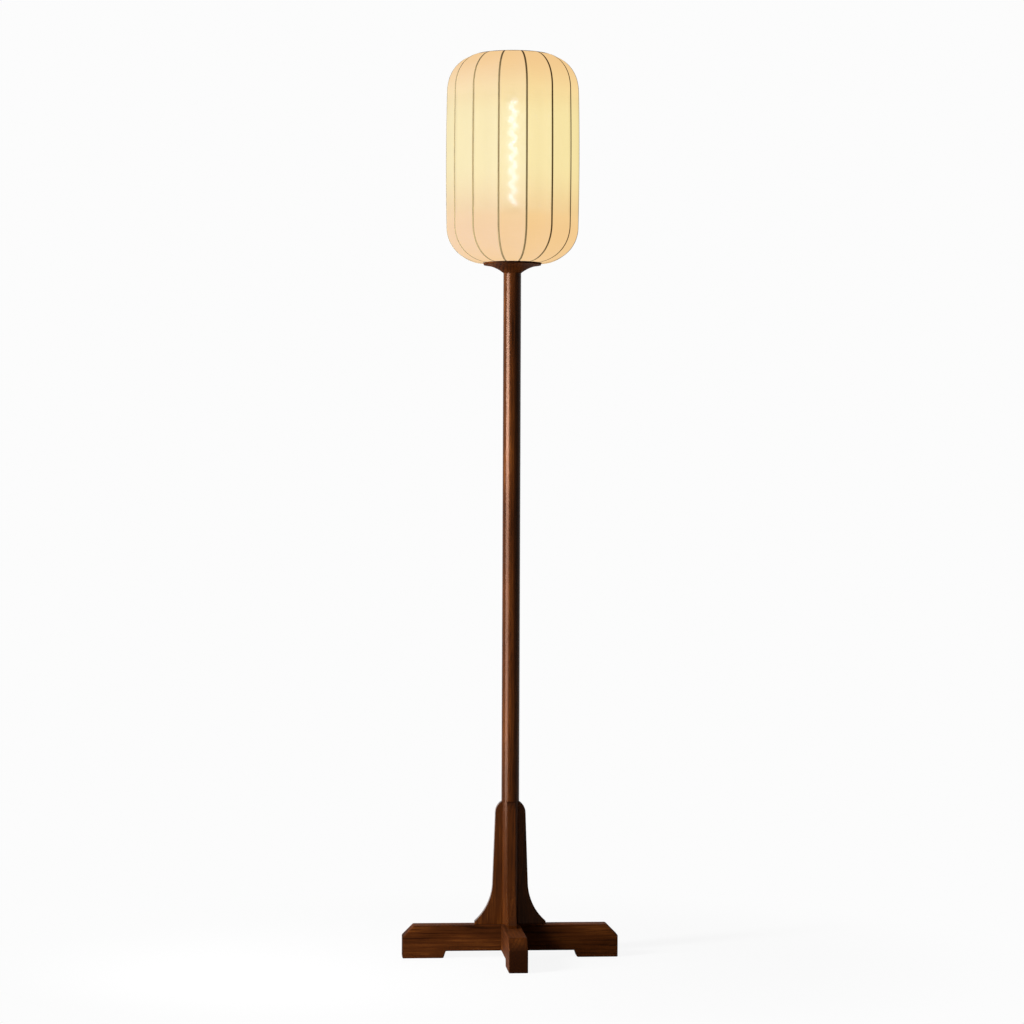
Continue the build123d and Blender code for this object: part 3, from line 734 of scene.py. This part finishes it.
# Steps: one operator for each piece or group of like pieces
class LAMP_OT_stage(bpy.types.Operator):
    """Pale floor and backdrop, soft lights and the camera"""

    bl_idname = "lamp.stage"
    bl_label = "Stage"

    def execute(self, context):
        stage = context.scene.lamp_stage
        self.make_world(context.scene, stage)
        self.make_floor(stage)
        self.make_lights(stage)
        self.make_camera(context.scene, stage)
        return {"FINISHED"}

    @staticmethod
    def seen_directly(nodes):
        """1 for what the camera sees, straight or in gloss and glass, and 0 for the light on the lamp."""
        camera, glossy, through = (
            nodes.add("ShaderNodeLightPath", output=f"Is {kind} Ray") for kind in ("Camera", "Glossy", "Transmission")
        )
        return nodes.sum("MAXIMUM", nodes.sum("MAXIMUM", camera, glossy), through)

    def make_world(self, scene, stage):
        world = bpy.data.worlds.new("studio")
        world.use_nodes = True
        scene.world = world
        nodes = Nodes(world.node_tree)
        background = world.node_tree.nodes["Background"]
        shown_grey = nodes.mix(self.seen_directly(nodes), [stage.fill_strength] * 3, [stage.backdrop] * 3)
        nodes.put(background.inputs["Color"], shown_grey)

    def make_floor(self, stage):
        """Paper that is as pale as the backdrop, and that only shows the lamp's shadow near its foot."""
        reach, near, far = 6.0, 0.3, 0.9
        shade_room, lit_share = 0.07, 0.08
        mesh = bpy.data.meshes.new("floor")
        corners = [(-reach, -reach, 0), (reach, -reach, 0), (reach, reach, 0), (-reach, reach, 0)]
        mesh.from_pydata(corners, [], [(0, 1, 2, 3)])
        floor = shown("floor", mesh)
        finish = Finish("pale floor", Base_Color=grey(0.5), Roughness=0.9, Specular_IOR_Level=0.0)
        paper, lift = (
            finish.add("ShaderNodeEmission", {"Color": grey(level)})
            for level in (stage.backdrop, stage.backdrop - shade_room)
        )
        faint = finish.add("ShaderNodeBsdfDiffuse", {"Color": grey(lit_share)})
        shadowed = finish.add("ShaderNodeAddShader", {0: faint, 1: lift})
        distance = finish.vector("LENGTH", finish.place(), output=1)
        pale = finish.blend(finish.ease(distance, near, far), shadowed, paper)
        mesh.materials.append(finish.surfaced(finish.blend(self.seen_directly(finish), finish.main(), pale)))

    def make_lights(self, stage):
        """Soft boxes.  Those named gloss show in reflections only, and the others light the surfaces only."""
        lights = (  # turn from the front, distance, height, size, share of the key light's power, height aimed at
            ("key", -63, 1.3, 0.6, (0.2, 1.15), 0.26, 0.6),
            ("upper key", -63, 2.2, 1.4, (0.25, 0.6), 0.42, 1.25),
            ("back", 168, 3.0, 2.0, (2.0, 1.4), 0.28, 0.9),
            ("gloss", -60, 1.2, 0.5, (0.85, 1.1), 1.0, 0.5),
            ("upper gloss", -60, 2.0, 1.36, (1.4, 0.7), 2.6, 1.36),
        )
        for name, turn, distance, height, size, share, aim in lights:
            data = bpy.data.lights.new(name, "AREA")
            data.shape = "RECTANGLE"
            data.size, data.size_y = size
            data.energy = share * stage.key_strength
            light = shown(name, data)
            angle = radians(turn)
            light.location = (distance * sin(angle), -distance * cos(angle), height)
            direction = Vector((0, 0, aim)) - light.location
            light.rotation_euler = direction.to_track_quat("-Z", "Y").to_euler()
            light.visible_transmission = False
            light.visible_glossy = name.endswith("gloss")
            light.visible_diffuse = not light.visible_glossy

    def make_camera(self, scene, stage):
        data = bpy.data.cameras.new("camera")
        data.sensor_width = 36
        data.lens = stage.focal_length
        data.shift_y = -stage.shift_down
        camera = shown("camera", data)
        turn = stage.camera_turn
        aside = 1.0 * MM
        spot = Vector((sin(turn), -cos(turn), 0)) * stage.camera_distance
        spot += Vector((cos(turn), sin(turn), 0)) * aside
        camera.location = (spot.x, spot.y, stage.camera_height)
        camera.rotation_mode = "QUATERNION"
        level = Vector((-sin(turn), cos(turn), 0)).to_track_quat("-Z", "Y")
        camera.rotation_quaternion = level @ Quaternion((0, 0, 1), stage.camera_roll)
        scene.camera = camera
        scene.view_settings.view_transform = "Standard"


class LAMP_OT_cross_base(bpy.types.Operator):
    """Two crossed beams with arched feet"""

    bl_idname = "lamp.cross_base"
    bl_label = "Cross base"

    def execute(self, context):
        wood = context.scene.lamp_walnut
        beams = (("beam_lower", "x", (0.31, 0.060, -0.075)), ("beam_upper", "y", (0.77, -0.050, -0.085)))
        for node, grain, pith in beams:
            eased(node, "wood", 0.45 * MM, walnut(wood, node, grain, pith, MATT), "stand", "walnut")
        return {"FINISHED"}


class LAMP_OT_fins(bpy.types.Operator):
    """Four fins that brace the post"""

    bl_idname = "lamp.fins"
    bl_label = "Fins"

    def execute(self, context):
        wood = context.scene.lamp_walnut
        for number, side in enumerate(("front", "right", "back", "left")):
            node = f"fin_{side}"
            pith = (0.13 * number, 0.055 + 0.011 * number, 0.048 - 0.013 * number)
            eased(node, "wood", wood.arris, walnut(wood, node, "z", pith, SATIN), "stand", "walnut")
        return {"FINISHED"}


class LAMP_OT_post(bpy.types.Operator):
    """Round post with its two tenons"""

    bl_idname = "lamp.post"
    bl_label = "Post"

    def execute(self, context):
        wood = context.scene.lamp_walnut
        radius, bottom, top = lens("post")
        base_top, plate_bottom = lens("beam_lower")[2], lens("shade_plate")[1]
        bore = lens("tie_tube")[0] + BORE_GAP
        outline = [(bore, bottom), (TENON, bottom), (TENON, base_top), (radius, base_top)]
        outline += [(radius, plate_bottom), (TENON, plate_bottom), (TENON, top), (bore, top)]
        post = turned("post_wood", rounded(outline, 0.5 * MM))
        finished(post, walnut(wood, "post", "z", (0.9, 0.028, -0.036), SATIN), "stand", "walnut", "post")
        return {"FINISHED"}


class LAMP_OT_shade_plate(bpy.types.Operator):
    """Turned plate under the shade, hollow underneath"""

    bl_idname = "lamp.shade_plate"
    bl_label = "Shade plate"

    def execute(self, context):
        wood = context.scene.lamp_walnut
        radius, bottom, top = lens("shade_plate")
        foot, _, post_top = lens("post")
        bore, tenon, tenon_top = lens("tie_tube")[0] + BORE_GAP, TENON + GLUE_GAP, post_top + GLUE_GAP
        rim_bottom = top - 3.4 * MM
        start, stop = Vector((foot, bottom)), Vector((radius, rim_bottom))
        middle = Vector((wood.cove_radius, top - wood.cove_drop))
        outline = [(bore, tenon_top), (tenon, tenon_top), (tenon, bottom), *arc_through(start, middle, stop, 24)]
        outline += [*rounded_rim(radius, rim_bottom, top, wood.rim), (bore, top)]
        plate = turned("shade_plate_wood", outline)
        finished(plate, walnut(wood, "plate", "y", (0.05, 0.4, -1.25), MATT), "stand", "walnut", "shade_plate")
        return {"FINISHED"}


class LAMP_OT_lamp_pipe(bpy.types.Operator):
    """Threaded pipe with its nuts, washers, spacer and the cord bushing"""

    bl_idname = "lamp.lamp_pipe"
    bl_label = "Lamp pipe"

    def execute(self, context):
        zinc = metal("zinc plate", (0.42, 0.42, 0.41), 0.34, 2600)
        radius, low, high = lens("tie_tube")
        pipe = tube("tie_tube_steel", plain(radius), plain(radius - 1.0 * MM), (low, high), 48)
        finished(pipe, zinc, "stand", "zinc_steel", "tie_tube")
        for node, width in (("pipe_nuts", 0.45 * MM), ("pipe_washers", 0.2 * MM), ("neck_spacer", 0.25 * MM)):
            eased(node, "steel", width, zinc, "stand", "zinc_steel", 2)
        rubber = moulded("black bushing", (0.018, 0.018, 0.019), 0.5)
        eased("cord_bushing", "black", 0.2 * MM, rubber, "stand", "black_plastic", 2)
        return {"FINISHED"}


class LAMP_OT_lampholder(bpy.types.Operator):
    """Lampholder: cap, threaded sleeve, ceramic, terminals, shell and contact"""

    bl_idname = "lamp.lampholder"
    bl_label = "Lampholder"

    def execute(self, context):
        black = moulded("black phenolic", (0.016, 0.015, 0.015), 0.30)
        glaze = moulded("white glaze", (0.62, 0.60, 0.55), 0.18, coat=0.6)
        brass = metal("brass", (0.78, 0.55, 0.24), 0.20, 3400)
        self.make_cap(black)
        self.make_sleeve(black)
        eased("socket_insulator", "glaze", 0.6 * MM, glaze, "stand", "ceramic")
        for node in ("terminal_screws", "socket_contact"):
            eased(node, "brass", 0.15 * MM, brass, "stand", "brass", 2)
        radius, low, high = lens("socket_shell")
        outside, inside = (
            thread(radius + gap, 0.5 * MM, CAP_PITCH, low + 3 * MM, high) for gap in (0.25 * MM, -0.15 * MM)
        )
        shell = tube("socket_shell_brass", outside, inside, spread(low, high, 64))
        finished(shell, brass, "stand", "brass", "socket_shell")
        return {"FINISHED"}

    def make_cap(self, black):
        radius, low, high = lens("socket_cap")
        neck, neck_top, wall = 8.5 * MM, low + 6 * MM, 2.2 * MM
        bore = lens("tie_tube")[0] + GLUE_GAP
        outline = [(bore, low), (neck, low), (neck, neck_top), (radius, neck_top), (radius, high)]
        outline += [(radius - wall, high), (radius - wall, neck_top + wall), (bore, neck_top + wall)]
        cap = turned("socket_cap_black", rounded(outline, wall, 5))
        finished(cap, black, "stand", "black_plastic", "socket_cap")

    def make_sleeve(self, black):
        flange, low, high = lens("socket_body")
        radius = lens("socket_cap")[0]
        flange_low, flange_high, ledge = low + 11.0 * MM, low + 13.5 * MM, low + 14.1 * MM
        lower_bore, mouth = 17.6 * MM, 14.3 * MM
        easing, chamfer = 0.5 * MM, 1.0 * MM
        groove = thread(radius, 0.55 * MM, RING_PITCH, flange_high + easing, high - chamfer)

        def outer(angle, level):
            if flange_low <= level <= flange_high:
                edge = min(level - flange_low, flange_high - level)
                return flange - easing * (1 - min(1.0, edge / easing))
            if level < flange_low:
                return radius
            return groove(angle, level) - max(0.0, level - high + chamfer)

        def inner(angle, level):
            return lower_bore if level < ledge else mouth

        levels = doubled(spread(low, high, 96), (flange_low, flange_high, ledge))
        sleeve = tube("socket_body_black", outer, inner, levels)
        finished(sleeve, black, "stand", "black_plastic", "socket_body")


class LAMP_OT_bulb(bpy.types.Operator):
    """Tube bulb: screw cap, glass, stem and the glowing coil"""

    bl_idname = "lamp.bulb"
    bl_label = "Bulb"

    def execute(self, context):
        bulb = context.scene.lamp_bulb
        self.make_cap()
        self.make_glass(bulb)
        self.make_coil(bulb)
        nickel = metal("nickel wire", (0.55, 0.54, 0.50), 0.25, 900)
        eased("bulb_leads", "wire", 0.1 * MM, nickel, "bulb", "zinc_steel", 1)
        return {"FINISHED"}

    def make_cap(self):
        brass = metal("cap brass", (0.80, 0.60, 0.30), 0.22, 3000)
        radius, low, high = lens("bulb_cap")
        outer, inner = (
            thread(radius - wall, 0.7 * MM, CAP_PITCH, low + 0.5 * MM, high - 3.5 * MM) for wall in (0.0, 0.5 * MM)
        )
        cap = tube("bulb_cap_brass", outer, inner, spread(low, high, 72))
        finished(cap, brass, "bulb", "brass", "bulb_cap")
        wide, bottom, top = lens("bulb_insulator")
        tip, tip_low, tip_high = lens("bulb_contact")
        outline = [(0, bottom), (tip, bottom), (wide, top - 1.2 * MM), (wide, top), (0, top)]
        button = turned("bulb_insulator_black", rounded(outline, 0.6 * MM), 64)
        black = moulded("black glass", (0.010, 0.010, 0.013), 0.08, coat=0.5)
        finished(button, black, "bulb", "black_glass", "bulb_insulator")
        dome = [(0, tip_low), (0.62 * tip, tip_low + 0.12 * MM), (0.9 * tip, tip_low + 0.5 * MM)]
        dome += [(tip, tip_high), (0, tip_high)]
        solder = metal("solder", (0.60, 0.60, 0.60), 0.34, 500)
        finished(turned("bulb_contact_solder", dome, 48), solder, "bulb", "solder", "bulb_contact")

    def make_glass(self, bulb):
        radius, low, high = lens("bulb_glass")
        neck, neck_top, shoulder = 12.5 * MM, lens("bulb_cap")[2], 9 * MM
        shoulder_cuts, dome_cuts = 8, 16
        walls = []
        for inset in (0.0, bulb.wall):
            wall = [(neck - inset, low), (neck - inset, neck_top)]
            for cut in range(shoulder_cuts + 1):
                share = 0.5 - 0.5 * cos(pi * cut / shoulder_cuts)
                wall.append((neck - inset + (radius - neck) * share, neck_top + shoulder * cut / shoulder_cuts))
            for cut in range(dome_cuts + 1):
                turn = pi / 2 * cut / dome_cuts
                wall.append(((radius - inset) * cos(turn), high - radius + (radius - inset) * sin(turn)))
            walls.append(wall)
        glass = turned("bulb_glass_clear", [*walls[0], *reversed(walls[1])], 72)
        finished(glass, bulb_glass_finish(bulb), "bulb", "clear_glass", "bulb_glass")
        foot, rod, disc, stem_top = 3.5 * MM, 1.2 * MM, neck - bulb.wall - GLUE_GAP, lens("bulb_stem")[2]
        outline = [(0, low), (disc, low), (disc, low + 0.9 * MM), (foot + 1.5 * MM, low + 2.5 * MM)]
        outline += [(foot, low + 6 * MM), (foot, low + 17 * MM), (rod, low + 21 * MM), (rod, stem_top), (0, stem_top)]
        stem = turned("bulb_stem_clear", rounded(outline, 1.0 * MM), 32)
        finished(stem, bulb_glass_finish(bulb), "bulb", "clear_glass", "bulb_stem")

    def make_coil(self, bulb):
        _, low, high = lens("bulb_filament")
        glow = coil_finish(bulb)
        maker = Maker(
            "wound coil",
            Turns=bulb.turns,
            Radius=bulb.coil_radius - bulb.wire / 2,
            Height=high - low + 2 * bulb.loose_end - bulb.wire,
            Level=low - bulb.loose_end + bulb.wire / 2,
            Thickness=bulb.wire,
            Material=glow,
        )
        turns, radius, height, level, thickness = maker.given("Turns", "Radius", "Height", "Level", "Thickness")
        inputs = {"Resolution": 40, "Rotations": turns, "Height": height}
        spiral = maker.add("GeometryNodeCurveSpiral", {**inputs, "Start Radius": radius, "End Radius": radius})
        strand = maker.add("GeometryNodeCurvePrimitiveCircle", {"Resolution": 10, "Radius": thickness / 2.0})
        inputs = {"Geometry": maker.swept(spiral, strand), "Translation": maker.join(0.0, 0.0, level)}
        raised = maker.add("GeometryNodeTransform", inputs)
        coil = maker.made("bulb_coil_glow", [(0, 0, 0), (0, 0, 1)], raised, radians(60))
        finished(coil, glow, "bulb", "filament", "bulb_filament")


class LAMP_OT_rib_frame(bpy.types.Operator):
    """Bent ribs, the two hoops and the spider"""

    bl_idname = "lamp.rib_frame"
    bl_label = "Rib frame"

    def execute(self, context):
        shade = context.scene.lamp_shade
        lacquer = frame_lacquer(shade)
        self.make_ribs(shade, lacquer)
        for node in ("top_hoop", "bottom_hoop"):
            radius, low, high = lens(node)
            inner = radius - HOOP_WALL
            outline = [(inner, low), (radius, low), (radius, high), (inner, high)]
            hoop = turned(f"{node}_steel", rounded(outline, 0.8 * MM))
            finished(hoop, lacquer, "shade", "frame_steel", node)
        eased("spider", "steel", 0.3 * MM, lacquer, "shade", "frame_steel", 2)
        return {"FINISHED"}

    def make_ribs(self, shade, lacquer):
        glue = 0.5 * MM
        points = shade_meridian(shade, shade.thickness + glue + shade.rib_depth / 2, 4 * MM)
        maker = Maker(
            "ribs in a ring",
            Count=shade.rib_count,
            Width=shade.rib_width,
            Depth=shade.rib_depth,
            First_angle=first_rib_angle(),
            Material=lacquer,
        )
        line, count, width, depth, first = maker.given("Geometry", "Count", "Width", "Depth", "First angle")
        section = maker.add("GeometryNodeCurvePrimitiveQuadrilateral", {"Width": depth, "Height": width})
        inputs = {"Curve": section, "Radius": 0.5 * MM, "Count": 2, "Limit Radius": True}
        soft = maker.add("GeometryNodeFilletCurve", inputs, mode="POLY")
        spots = maker.add("GeometryNodeMeshLine", {"Count": count, "Offset": (0, 0, 0)}, mode="OFFSET")
        angle = maker.add("GeometryNodeInputIndex") * (TURN / count) + first
        inputs = {"Points": spots, "Instance": maker.swept(line, soft), "Rotation": maker.join(0.0, 0.0, angle)}
        ring = maker.add("GeometryNodeInstanceOnPoints", inputs)
        ribs = maker.made("shade_ribs", on_front(points), ring, radians(50))
        finished(ribs, lacquer, "shade", "frame_steel", *RIBS)


class LAMP_OT_clamp_ring(bpy.types.Operator):
    """Ring that screws down on the lampholder, with grip ribs and a thread"""

    bl_idname = "lamp.clamp_ring"
    bl_label = "Clamp ring"

    def execute(self, context):
        radius, low, high = lens("shade_ring")
        bore, grips, depth, edge = 20.5 * MM, 36, 0.6 * MM, 1.0 * MM

        def outer(angle, level):
            near = min(level - low, high - level, edge) / edge
            return radius - depth * (0.5 + 0.5 * cos(grips * angle)) * near - edge * (1 - near) * 0.8

        inside = thread(bore + depth, depth, RING_PITCH, low, high)
        ring = tube("shade_ring_black", outer, inside, spread(low, high, 24), 288)
        black = moulded("black ring", (0.017, 0.016, 0.016), 0.34)
        finished(ring, black, "shade_ring", "black_plastic", "shade_ring")
        return {"FINISHED"}


class LAMP_OT_silk_cover(bpy.types.Operator):
    """Silk gores stretched from rib to rib, with the tape that binds their edges"""

    bl_idname = "lamp.silk_cover"
    bl_label = "Silk cover"

    def execute(self, context):
        shade = context.scene.lamp_shade
        points = shade_meridian(shade, 0.0)
        silk = silk_finish(shade)
        maker = Maker(
            "gores between ribs",
            Gores=shade.rib_count,
            Cuts_across=11,
            Rows=len(points),
            Pull=shade.pull_in,
            First_angle=first_rib_angle(),
            Material=silk,
        )
        cover = maker.made("silk_cover", on_front(points), self.gores(maker), radians(60))
        shell = cover.modifiers.new("thickness", "SOLIDIFY")
        shell.thickness = shade.thickness
        shell.offset = -1
        finished(cover, silk, "shade", "silk", "shade_cover")
        tapes = self.make_tapes(shade, points)
        runs = [((a[0] + b[0]) / 2, (Vector(b) - Vector(a)).length) for a, b in zip(points, points[1:])]
        return {"FINISHED"}

    @staticmethod
    def gores(maker):
        """Surface of the silk: each gore is straight across between two ribs and draws in a little."""
        line, count, cuts, rows = maker.given("Geometry", "Gores", "Cuts across", "Rows")
        most_pull, first = maker.given("Pull", "First angle")
        inputs = {"Size X": 1.0, "Size Y": 1.0, "Vertices X": count * cuts + 1.0, "Vertices Y": rows}
        grid = maker.add("GeometryNodeMeshGrid", inputs, "Mesh")
        x, y, _ = maker.split(maker.add("GeometryNodeInputPosition"))
        down = y + 0.5
        side, heading = (
            maker.split(maker.add("GeometryNodeSampleCurve", {"Curves": line, "Factor": down}, name, mode="FACTOR"))
            for name in ("Position", "Tangent")
        )

        # Which gore a point is in, and its share of the way across that gore
        place = (x + 0.5) * count
        snapped = maker.sum("ROUND", place * cuts) / cuts
        slack = 1e-4
        gore = maker.sum("MINIMUM", maker.sum("FLOOR", snapped + slack), count - 1.0)
        within = snapped - gore

        # Flat across and drawn in, but for the two hems, which are round
        wide = TURN / count
        hem_fade, bow_peak = 12.0, 4.0
        free = maker.sum("MINIMUM", down * (1.0 - down) * hem_fade, 1.0)
        flat = maker.sum("COSINE", wide * 0.5) / maker.sum("COSINE", (within - 0.5) * wide) - 1.0
        pull = within * (1.0 - within) * bow_peak * most_pull * free
        radius = side[0] * (flat * free + 1.0) + pull * heading[2]
        level = side[2] - pull * heading[0]
        angle = snapped * wide + first
        moved = maker.join(radius * maker.sum("COSINE", angle), radius * maker.sum("SINE", angle), level)

        # Distance to the nearest rib, and the cloth's own coordinates in metres
        span = side[0] * maker.sum("SINE", wide * 0.5) * 2.0
        distance = maker.sum("MINIMUM", within, 1.0 - within) * span
        length = maker.add("GeometryNodeCurveLength", {"Curve": line})
        weave = maker.join(place * span, down * length, 0.0)
        kept = maker.stored(grid, "rib_distance", distance, "FLOAT", "POINT")
        mapped = maker.stored(kept, "weave", weave, "FLOAT2", "CORNER")
        bent = maker.add("GeometryNodeSetPosition", {"Geometry": mapped, "Position": moved})
        return maker.add("GeometryNodeMergeByDistance", {"Geometry": bent, "Distance": 0.01 * MM})

    def make_tapes(self, shade, points):
        """Tape folded over each hoop and the silk's edge."""
        finish = tape_finish(shade)
        tapes = []
        for name, node, (start, after), side, lap, sheet in (  # side is up or down, lap how far the tape reaches out
            ("top_tape", "top_hoop", (points[0], points[4]), 1, 7.0 * MM, 1.0 * MM),
            ("bottom_tape", "bottom_hoop", (points[-1], points[-3]), -1, 2.4 * MM, 0.6 * MM),
        ):
            radius, low, high = lens(node)
            near = max(high, start[1]) if side > 0 else min(low, start[1])
            far = low if side > 0 else high
            slope = (after[1] - start[1]) / (after[0] - start[0])
            edge, inner = start[0] + lap, radius - HOOP_WALL
            over = start[1] + slope * lap
            lift, skin = HAIR * side, side * sheet
            outline = [
                (inner - sheet, far),
                (inner - sheet, near + skin),
                (start[0] + 0.1 * MM, near + skin),
                (edge, over + skin),
                (edge, over + lift),
                (start[0], start[1] + lift),
                (start[0], near + lift),
                (inner - HAIR, near + lift),
                (inner - HAIR, far),
            ]
            tape = turned(name, outline)
            tape.data.materials.append(finish)
            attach(tape, "shade")
            tapes.append(tape)
        return tapes


STEPS = (
    LAMP_OT_stage,
    LAMP_OT_cross_base,
    LAMP_OT_fins,
    LAMP_OT_post,
    LAMP_OT_shade_plate,
    LAMP_OT_lamp_pipe,
    LAMP_OT_lampholder,
    LAMP_OT_bulb,
    LAMP_OT_rib_frame,
    LAMP_OT_clamp_ring,
    LAMP_OT_silk_cover,
)
SETTINGS = {
    "lamp_walnut": WalnutSettings,
    "lamp_shade": ShadeSettings,
    "lamp_bulb": BulbSettings,
    "lamp_stage": StageSettings,
}


class LAMP_PT_steps(bpy.types.Panel):
    """The lamp's settings and the steps that build it"""

    bl_label = "Andon floor lamp"
    bl_idname = "LAMP_PT_steps"
    bl_space_type = "VIEW_3D"
    bl_region_type = "UI"
    bl_category = "Lamp"

    def draw(self, context):
        for name, group in SETTINGS.items():
            settings = getattr(context.scene, name)
            box = self.layout.box()
            for prop in group.__annotations__:
                box.prop(settings, prop)
        for step in STEPS:
            self.layout.operator(step.bl_idname)


def register():
    for kind in (*SETTINGS.values(), *STEPS, LAMP_PT_steps):
        bpy.utils.register_class(kind)
    for name, group in SETTINGS.items():
        setattr(bpy.types.Scene, name, PointerProperty(type=group))


def unregister():
    for name in SETTINGS:
        delattr(bpy.types.Scene, name)
    for kind in reversed((*SETTINGS.values(), *STEPS, LAMP_PT_steps)):
        bpy.utils.unregister_class(kind)


def main():
    register()
    for step in STEPS:
        group, name = step.bl_idname.split(".")
        getattr(getattr(bpy.ops, group), name)()


if __name__ == "__main__":
    main()
